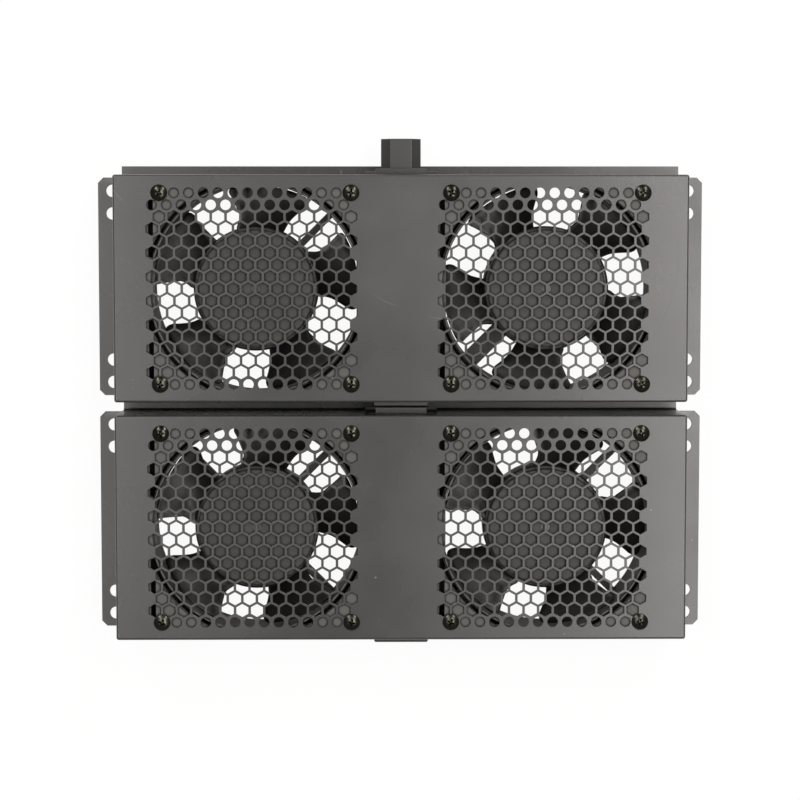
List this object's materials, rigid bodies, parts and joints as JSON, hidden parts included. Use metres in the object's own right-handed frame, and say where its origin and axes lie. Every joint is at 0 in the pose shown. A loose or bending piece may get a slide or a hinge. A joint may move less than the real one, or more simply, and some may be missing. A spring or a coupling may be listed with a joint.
{
  "type": "rack fan tray",
  "caption": "Rack fan tray of folded, pierced sheet-metal modules, each with axial fans and mounting ears, coupled by plug-in power connectors.",
  "frame": {"origin": "under the middle of the whole tray, in the plane of the underside of the mounting ears", "axes": "+X across the rack, +Y from the front module to the rear module, +Z out of the pierced face"},
  "size_m": [0.341, 0.2802, 0.0454],
  "materials": {
    "black_powder_coat": "semi-matt black powder coat, finely textured",
    "black_nickel_screw": "black nickel plate, bright, slightly bronze",
    "zinc_steel": "zinc plate",
    "black_nylon": "matt moulded nylon",
    "tinned_brass": "tin plate",
    "connector_plastic": "fine-grained moulded plastic",
    "nickel_brass": "nickel plate",
    "contact_brass": "bare brass",
    "dark_cast_frame": "dark grey painted die casting",
    "bearing_steel": "ground steel",
    "lamination_steel": "stacked laminations",
    "copper_winding": "enamelled copper wire",
    "ground_steel": "ground steel",
    "spring_steel": "blackened spring steel",
    "dark_rotor_steel": "dark grey painted steel",
    "black_blade": "black painted blades"
  },
  "bodies": {
    "rear_module": {"rear_tray": "black_powder_coat", "rear_bottom_cover": "black_powder_coat", "rear_fan_screws": "black_nickel_screw", "rear_fan_nuts": "zinc_steel", "rear_terminal_blocks": "black_nylon", "rear_fan_terminals": "tinned_brass", "rear_inlet_housing": "connector_plastic", "rear_inlet_pins": "nickel_brass", "rear_outlet_housing": "connector_plastic", "rear_outlet_contacts": "contact_brass", "rear_left_frame": "dark_cast_frame", "rear_left_bearing_cap": "black_nylon", "rear_left_bearings": "bearing_steel", "rear_left_stator_core": "lamination_steel", "rear_left_windings": "copper_winding", "rear_right_frame": "dark_cast_frame", "rear_right_bearing_cap": "black_nylon", "rear_right_bearings": "bearing_steel", "rear_right_stator_core": "lamination_steel", "rear_right_windings": "copper_winding"},
    "front_module": {"front_tray": "black_powder_coat", "front_bottom_cover": "black_powder_coat", "front_fan_screws": "black_nickel_screw", "front_fan_nuts": "zinc_steel", "front_terminal_blocks": "black_nylon", "front_fan_terminals": "tinned_brass", "front_inlet_housing": "connector_plastic", "front_inlet_pins": "nickel_brass", "front_outlet_housing": "connector_plastic", "front_outlet_contacts": "contact_brass", "front_left_frame": "dark_cast_frame", "front_left_bearing_cap": "black_nylon", "front_left_bearings": "bearing_steel", "front_left_stator_core": "lamination_steel", "front_left_windings": "copper_winding", "front_right_frame": "dark_cast_frame", "front_right_bearing_cap": "black_nylon", "front_right_bearings": "bearing_steel", "front_right_stator_core": "lamination_steel", "front_right_windings": "copper_winding"},
    "rear_left_rotor": {"rear_left_shaft": "ground_steel", "rear_left_retaining_ring": "spring_steel", "rear_left_rotor_iron": "lamination_steel", "rear_left_rotor_cup": "dark_rotor_steel", "rear_left_impeller": "black_blade"},
    "rear_right_rotor": {"rear_right_shaft": "ground_steel", "rear_right_retaining_ring": "spring_steel", "rear_right_rotor_iron": "lamination_steel", "rear_right_rotor_cup": "dark_rotor_steel", "rear_right_impeller": "black_blade"},
    "front_left_rotor": {"front_left_shaft": "ground_steel", "front_left_retaining_ring": "spring_steel", "front_left_rotor_iron": "lamination_steel", "front_left_rotor_cup": "dark_rotor_steel", "front_left_impeller": "black_blade"},
    "front_right_rotor": {"front_right_shaft": "ground_steel", "front_right_retaining_ring": "spring_steel", "front_right_rotor_iron": "lamination_steel", "front_right_rotor_cup": "dark_rotor_steel", "front_right_impeller": "black_blade"}
  },
  "joints": [
    {"name": "plug_travel", "type": "slide", "parent": "rear_module", "child": "front_module", "axis": [0, -1, 0], "range_m": [0, 0.0155]},
    {"name": "rear_left_spin", "type": "hinge", "parent": "rear_module", "child": "rear_left_rotor", "pos_m": [-0.08, 0.05775, 0.0228], "axis": [0, 0, 1], "continuous": true},
    {"name": "rear_right_spin", "type": "hinge", "parent": "rear_module", "child": "rear_right_rotor", "pos_m": [0.08, 0.05775, 0.0228], "axis": [0, 0, 1], "continuous": true},
    {"name": "front_left_spin", "type": "hinge", "parent": "front_module", "child": "front_left_rotor", "pos_m": [-0.08, -0.07445, 0.0228], "axis": [0, 0, 1], "continuous": true},
    {"name": "front_right_spin", "type": "hinge", "parent": "front_module", "child": "front_right_rotor", "pos_m": [0.08, -0.07445, 0.0228], "axis": [0, 0, 1], "continuous": true}
  ]
}
